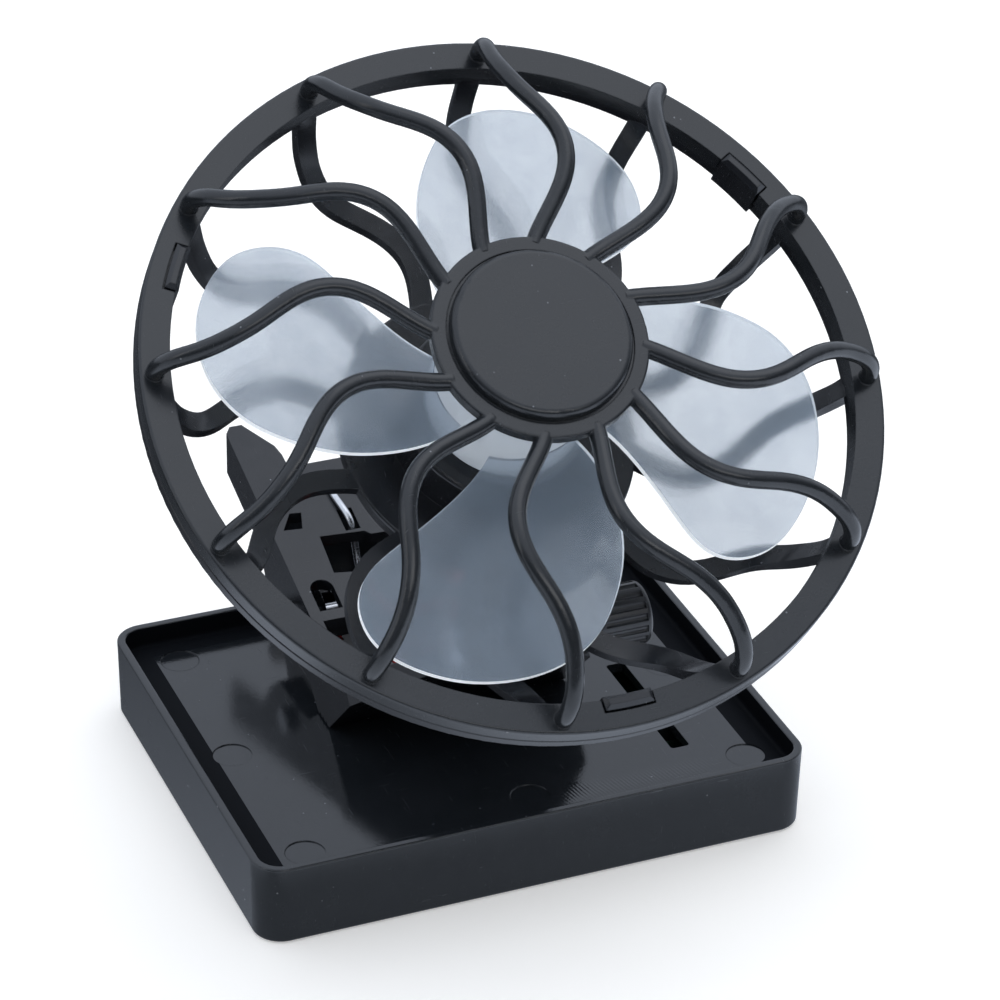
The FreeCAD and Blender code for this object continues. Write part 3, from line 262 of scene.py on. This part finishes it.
# ------------------------------------------------------------------ blades
def frosted_blade():
    """Clear plastic with a bluish haze, and a painted highlight that whitens the cut edges and
    the hub wall.
    """
    graph = material_graph("frosted_blade")
    slow = graph.noise(scale=60.0, detail=3.0, rough=0.5)
    fine = graph.noise(scale=5200.0, detail=2.0, rough=0.5)
    flow = graph.noise(scale=1.0, detail=3.0, rough=0.5,
                       vector=graph.mapped(scale=(120, 120, 40)), distort=0.6)

    # Radius from the fan's axis; the ramp runs from 11.8 mm (hub) to 12.5 mm (blades)
    offset = graph.vector_math("SUBTRACT", {0: graph.coord, 1: FAN_CENTRE})
    along = graph.vector_math("DOT_PRODUCT", {0: offset, 1: FAN_AXIS}, "Value")
    axial = graph.vector_math("SCALE", {0: FAN_AXIS, "Scale": along})
    radial = graph.vector_math("SUBTRACT", {0: offset, 1: axial})
    radius = graph.vector_math("LENGTH", {0: radial}, "Value")
    on_blade = graph.ramp(graph.multiply(radius, 20.0), (0.236, 0.0), (0.25, 1.0))

    # Cut edges: faces that look sideways from the axis
    surface_normal = graph.node("ShaderNodeTexCoord").outputs["Normal"]
    facing = graph.vector_math("DOT_PRODUCT", {0: surface_normal, 1: FAN_AXIS}, "Value")
    cut = graph.ramp(graph.math("ABSOLUTE", facing), (0.35, 1.0), (0.7, 0.0))
    # Painted highlight on the cut: whiteness 0.48 on the hub, 0.90 on the blades
    painted_edge_highlight = graph.multiply(cut, graph.add(graph.multiply(on_blade, 0.42), 0.48))

    # Clear body
    relief = graph.add(graph.multiply(fine, 0.0000015), graph.multiply(flow, 0.00008))
    normal = graph.bump(relief, strength=1.0, distance=1.0, bevel=0.00015)
    body = graph.principled(
        colour=graph.ramp(slow, (0.3, (0.74, 0.78, 0.83)), (0.7, (0.86, 0.89, 0.93))),
        roughness=graph.ramp(flow, (0.3, 0.16), (0.7, 0.26)),
        normal=normal, IOR=1.45, Transmission_Weight=1.0)
    clear = graph.node("ShaderNodeBsdfTransparent", {"Color": (0.86, 0.88, 0.90)}).outputs[0]
    thin = graph.mix_shader(0.2, body, clear)

    # Milky haze, whitened along the cut edges as a painted highlight, with a faint painted glow
    # there too
    milk_and_edge_highlight_colour = graph.mix(painted_edge_highlight, (0.50, 0.60, 0.71), (0.93, 0.95, 0.97))
    milk = graph.node("ShaderNodeBsdfDiffuse", {"Color": milk_and_edge_highlight_colour, "Normal": normal})
    through = graph.node("ShaderNodeBsdfTranslucent", {"Color": milk_and_edge_highlight_colour})
    fog = graph.mix_shader(0.4, milk.outputs[0], through.outputs[0])
    # Painted glow: emission along the cut edges, though the blades are no lamp
    painted_edge_glow = graph.emission((0.92, 0.96, 1.0), graph.multiply(painted_edge_highlight, 0.42))
    haze = graph.ramp(graph.noise(scale=220.0, detail=4.0, rough=0.6), (0.3, 0.30), (0.7, 0.24))
    return graph.finish(graph.mix_shader(
        graph.math("MAXIMUM", haze, painted_edge_highlight), thin, graph.add_shader(fog, painted_edge_glow)))


# ------------------------------------------------------------- solar panel
def panel_cover():
    graph = material_graph("panel_cover_clear")
    return graph.finish(graph.principled(
        colour=(0.93, 0.96, 0.97),
        roughness=graph.ramp(graph.noise(scale=400.0, detail=5.0, rough=0.6),
                             (0.3, 0.03), (0.75, 0.12)),
        normal=graph.bump(graph.noise(scale=120.0, detail=3.0, rough=0.5),
                          strength=0.5, distance=0.00005, bevel=0.0002),
        IOR=1.49, Transmission_Weight=1.0))


def solar_cell():
    """Blue crystals crossed by pale fingers, repeated along y."""
    finger_pitch = 0.0022
    graph = material_graph("solar_cell")
    shifted = graph.add(graph.xyz()[1], 1.0)  # keeps y positive
    phase = graph.math("FRACT", graph.math("DIVIDE", shifted, finger_pitch))
    finger = graph.ramp(phase, (0.0, 1.0), (0.07, 1.0), (0.09, 0.0), mode="CONSTANT")
    tone = graph.ramp(graph.voronoi(scale=230.0, output="Color"),
                      (0.2, (0.006, 0.012, 0.045)), (0.9, (0.012, 0.028, 0.09)))
    relief = graph.add(graph.multiply(finger, 0.00002),
                       graph.multiply(graph.noise(scale=1500.0), 0.000005))
    return graph.finish(graph.principled(
        colour=graph.mix(finger, tone, (0.42, 0.44, 0.48)),
        roughness=graph.mix(finger, 0.28, 0.4),
        normal=graph.bump(relief, strength=1.0, distance=1.0),
        Metallic=0.25))


def board():
    """Green circuit board with a fine weave."""
    graph = material_graph("board")
    weave = graph.node("ShaderNodeTexChecker", {
        "Vector": graph.coord, "Scale": 1500.0}).outputs["Fac"]
    colour = graph.mix(graph.multiply(weave, 0.25), (0.018, 0.055, 0.03), (0.05, 0.11, 0.06))
    blotches = graph.ramp(graph.noise(scale=90.0), (0.4, 0.0), (0.7, 0.5))
    return graph.finish(graph.principled(
        colour=graph.mix(blotches, colour, (0.012, 0.04, 0.03)),
        roughness=0.42,
        normal=graph.bump(weave, strength=0.5, distance=0.00001, bevel=0.0001)))


# -------------------------------------------------- metals and other parts
def metal(name, colour, rough, brushed):
    """Metal; brushed gives the relative fineness of the marks along x, y and z."""
    graph = material_graph(name)
    marks = graph.noise(scale=1.0, detail=3.0, rough=0.5,
                        vector=graph.mapped(scale=tuple(v * 900.0 for v in brushed)))
    stain = graph.noise(scale=500.0, detail=5.0, rough=0.6)
    stained = tuple(v * 0.82 for v in colour)
    return graph.finish(graph.principled(
        colour=graph.mix(graph.ramp(stain, (0.35, 0.0), (0.7, 1.0)), colour, stained),
        roughness=graph.ramp(marks, (0.3, rough[0]), (0.7, rough[1])),
        normal=graph.bump(marks, strength=0.4, distance=0.00001, bevel=0.0001),
        Metallic=1.0))


def winding_copper():
    graph = material_graph("winding_copper")
    turns = graph.node("ShaderNodeTexWave", {
        "Vector": graph.coord, "Scale": 900.0,
    }, wave_type="BANDS", bands_direction="Z").outputs["Fac"]
    return graph.finish(graph.principled(
        colour=graph.mix(turns, (0.30, 0.09, 0.03), (0.75, 0.33, 0.14)),
        roughness=0.3,
        normal=graph.bump(turns, strength=0.8, distance=0.00008),
        Metallic=0.8))


def endcap_nylon():
    graph = material_graph("endcap_nylon")
    return graph.finish(graph.principled(
        colour=graph.ramp(graph.noise(scale=160.0, detail=5.0),
                          (0.3, (0.62, 0.6, 0.54)), (0.7, (0.74, 0.72, 0.66))),
        roughness=0.45,
        normal=graph.bump(graph.noise(scale=3800.0),
                          strength=0.5, distance=0.00001, bevel=0.0002)))


def ferrite():
    graph = material_graph("ferrite")
    return graph.finish(graph.principled(
        colour=graph.ramp(graph.noise(scale=700.0, detail=6.0),
                          (0.3, (0.035, 0.035, 0.038)), (0.7, (0.085, 0.085, 0.09))),
        roughness=0.6,
        normal=graph.bump(graph.noise(scale=2400.0, detail=6.0),
                          strength=0.8, distance=0.00003, bevel=0.0002),
        Metallic=0.3))


def foam():
    graph = material_graph("foam")
    cells = graph.voronoi(scale=2600.0)
    return graph.finish(graph.principled(
        colour=graph.ramp(cells, (0.1, (0.05, 0.05, 0.052)), (0.6, (0.22, 0.22, 0.23))),
        roughness=0.9,
        normal=graph.bump(cells, strength=1.0, distance=0.0001)))


def lead_pvc(name, dark, light):
    graph = material_graph(name)
    relief = graph.add(graph.multiply(graph.noise(scale=240.0), 0.00008),
                       graph.multiply(graph.noise(scale=4000.0), 0.00001))
    return graph.finish(graph.principled(
        colour=graph.ramp(graph.noise(scale=300.0, detail=5.0), (0.3, dark), (0.7, light)),
        roughness=graph.ramp(graph.noise(scale=500.0), (0.3, 0.3), (0.7, 0.5)),
        normal=graph.bump(relief, strength=1.0, distance=1.0)))


# Slot, material, dark colour, light colour, roughness range, dust, grain scale, edge bevel
PLASTICS = (
    ("clip", "clip_black",
     (0.006, 0.007, 0.009), (0.014, 0.015, 0.018), (0.16, 0.28), 0.45, 2600.0, 0.00018),
    ("guard_front", "guard_front_black",
     (0.009, 0.011, 0.013), (0.016, 0.018, 0.021), (0.18, 0.27), 0.4, 2600.0, 0.00025),
    ("guard_rear", "guard_rear_black",
     (0.006, 0.007, 0.009), (0.012, 0.013, 0.016), (0.2, 0.3), 0.35, 2600.0, 0.00018),
    ("cover_back", "cover_black",
     (0.007, 0.008, 0.010), (0.014, 0.015, 0.018), (0.22, 0.34), 0.35, 2600.0, 0.00018),
    ("knob", "knob_black",
     (0.007, 0.008, 0.010), (0.016, 0.017, 0.020), (0.26, 0.4), 0.4, 4200.0, 0.00018),
)

# Slot, material, colour, roughness range, brushing along x, y and z
METALS = (
    ("solder", "tinned", (0.66, 0.67, 0.69), (0.25, 0.45), (1, 1, 1)),
    ("steel", "plated_steel", (0.6, 0.61, 0.63), (0.2, 0.34), (0.2, 4, 4)),
    ("spring", "spring_wire", (0.64, 0.65, 0.67), (0.16, 0.3), (0.3, 5, 5)),
    ("screw", "zinc_screw", (0.46, 0.47, 0.5), (0.25, 0.4), (3, 3, 3)),
    ("can", "motor_can", (0.66, 0.67, 0.69), (0.2, 0.34), (4, 4, 0.3)),
    ("bronze", "bronze", (0.72, 0.5, 0.25), (0.28, 0.42), (1, 1, 1)),
    ("shaft", "ground_shaft", (0.76, 0.77, 0.79), (0.1, 0.2), (4, 4, 0.5)),
    ("laminations", "laminations", (0.36, 0.36, 0.38), (0.35, 0.5), (0.3, 0.3, 9)),
)

materials = {"tray": tray_plastic()}
for slot, *look in PLASTICS:
    materials[slot] = plastic(*look)
materials["blades"] = frosted_blade()
materials["cover"] = panel_cover()
materials["cells"] = solar_cell()
materials["board"] = board()
for slot, *look in METALS:
    materials[slot] = metal(*look)
materials["windings"] = winding_copper()
materials["endcap"] = endcap_nylon()
materials["magnet"] = ferrite()
materials["foam"] = foam()
materials["lead_red"] = lead_pvc("lead_red_pvc", (0.35, 0.012, 0.012), (0.6, 0.03, 0.025))
materials["lead_black"] = lead_pvc(
    "lead_black_pvc", (0.012, 0.012, 0.013), (0.035, 0.035, 0.037))

slots = {part["node"]: part["material_slot"] for part in frame["record"]["subparts"]}
for name, obj in frame["nodes"].items():
    obj.data.materials.clear()
    obj.data.materials.append(materials[slots[name]])


# ------------------------------------------------------------------- floor
def pale_floor():
    """A warm, faintly glowing floor; in reflections it shows a painted reflection instead, a cool
    glow of varying strength.
    """
    tray_half_x, tray_half_y = 0.0425, 0.0345
    graph = material_graph("pale_floor")
    colour = graph.ramp(graph.noise(scale=3.0, detail=3.0),
                        (0.3, (0.92, 0.88, 0.81)), (0.7, (0.94, 0.90, 0.83)))
    diffuse = graph.node("ShaderNodeBsdfDiffuse", {"Color": colour}).outputs[0]
    seen = graph.add_shader(diffuse, graph.emission((1, 1, 1), strength=0.30))

    # Painted reflection: the glow seen in reflections grows to the right (+x), fades to the back
    # (+y), and is strong on the open floor away from the tray, towards the front; it is dim close
    # to the tray as painted shade
    x, y, _ = graph.xyz()
    side = graph.map_range(x, start=-0.25, end=0.10, high=0.60, mode="LINEAR")
    depth = graph.map_range(y, start=-0.04, end=0.08, low=1.0, high=0.25, mode="LINEAR")
    gap = graph.math("MAXIMUM", graph.beyond(x, tray_half_x), graph.beyond(y, tray_half_y))
    away = graph.map_range(gap, start=0.010, end=0.026)
    ahead = graph.map_range(y, start=0.03, end=-0.01)
    strength = graph.add(graph.multiply(side, depth), graph.multiply(away, ahead, 0.85))
    painted_reflection_glow = graph.emission((0.88, 0.98, 1.16), strength)

    path = graph.node("ShaderNodeLightPath").outputs
    mirrored = graph.multiply(
        path["Is Glossy Ray"], graph.subtract(1.0, path["Is Transmission Ray"]))
    return graph.finish(graph.mix_shader(mirrored, seen, painted_reflection_glow))


half, level = 3.0, -0.0002
floor_mesh = bpy.data.meshes.new("floor")
floor_mesh.from_pydata(
    [(-half, -half, level), (half, -half, level), (half, half, level), (-half, half, level)],
    [], [(0, 1, 2, 3)])
floor = bpy.data.objects.new("floor", floor_mesh)
scene.collection.objects.link(floor)
floor_mesh.materials.append(pale_floor())

# ------------------------------------------------------------------- world
world = bpy.data.worlds.new("studio")
scene.world = world
sky = Graph(world, "ShaderNodeOutputWorld", "Generated")
_, sky_y, sky_z = sky.xyz()


def sky_ramp(*stops):
    """Cool sky; each stop is (height, brightness)."""
    return sky.ramp(sky_z, *((height, (level * 0.9, level * 0.98, level * 1.13))
                             for height, level in stops))


back_sky = sky_ramp((0.0, 0.75), (0.25, 0.95), (0.6, 1.0), (0.8, 1.1), (1.0, 1.2))
front_sky = sky_ramp((0.0, 0.08), (0.35, 0.14), (0.6, 0.5), (0.8, 1.0), (1.0, 1.2))
turn = sky.map_range(sky_y, start=-0.35, end=0.25)
lighting = sky.node("ShaderNodeBackground", {
    "Color": sky.mix(turn, front_sky, back_sky), "Strength": 1.0})
# Plain white where the camera sees the sky, directly or through clear plastic
white = sky.node("ShaderNodeBackground", {"Color": (1, 1, 1), "Strength": 1.0})
sky_path = sky.node("ShaderNodeLightPath").outputs
seen_directly = sky.math("MAXIMUM", sky_path["Is Camera Ray"], sky_path["Is Transmission Ray"])
sky.finish(sky.mix_shader(seen_directly, lighting.outputs[0], white.outputs[0]))

# ------------------------------------------------------------------ lights
# Name, place, point aimed at, width and height, power in watts
SOFTBOXES = (
    ("key", (0.30, 0.05, 0.90), (0.0, 0.0, 0.06), (0.7, 0.7), 0.9),
    ("left", (-0.75, -0.15, 0.45), (0.0, -0.02, 0.07), (0.12, 0.5), 0.3),
    ("fill", (0.1, -1.0, 0.75), (0.0, -0.02, 0.07), (0.9, 0.25), 1.4),
)
for name, place, aim, size, power in SOFTBOXES:
    light = bpy.data.lights.new(name, "AREA")
    light.shape = "RECTANGLE"
    light.size, light.size_y = size
    light.energy = power
    box = bpy.data.objects.new(name, light)
    scene.collection.objects.link(box)
    box.location = place
    box.rotation_mode = "QUATERNION"
    box.rotation_quaternion = (Vector(aim) - Vector(place)).to_track_quat("-Z", "Y")

# ------------------------------------------------------------------ camera
# In front of the fan and to its left, looking down at it
azimuth, elevation, roll = math.radians(-22.904), math.radians(30.08), math.radians(-1.17)
backward = Vector((math.sin(azimuth) * math.cos(elevation),
                   -math.cos(azimuth) * math.cos(elevation),
                   math.sin(elevation)))
forward = -backward
right = forward.cross(Vector((0, 0, 1))).normalized()
down = forward.cross(right)
rolled_right = right * math.cos(roll) + down * math.sin(roll)
rolled_down = -right * math.sin(roll) + down * math.cos(roll)
pose = Matrix((rolled_right, -rolled_down, -forward)).transposed().to_4x4()
pose.translation = Vector((-0.19287, -0.47281, 0.34126))

camera_data = bpy.data.cameras.new("camera")
camera_data.lens = 146.86
camera_data.sensor_width = 36.0
camera_data.clip_start, camera_data.clip_end = 0.05, 20.0
camera = bpy.data.objects.new("camera", camera_data)
camera.matrix_world = pose
scene.collection.objects.link(camera)
scene.camera = camera
scene.view_settings.view_transform = "Standard"
scene.view_settings.look = "None"
scene.view_settings.exposure = 0.0
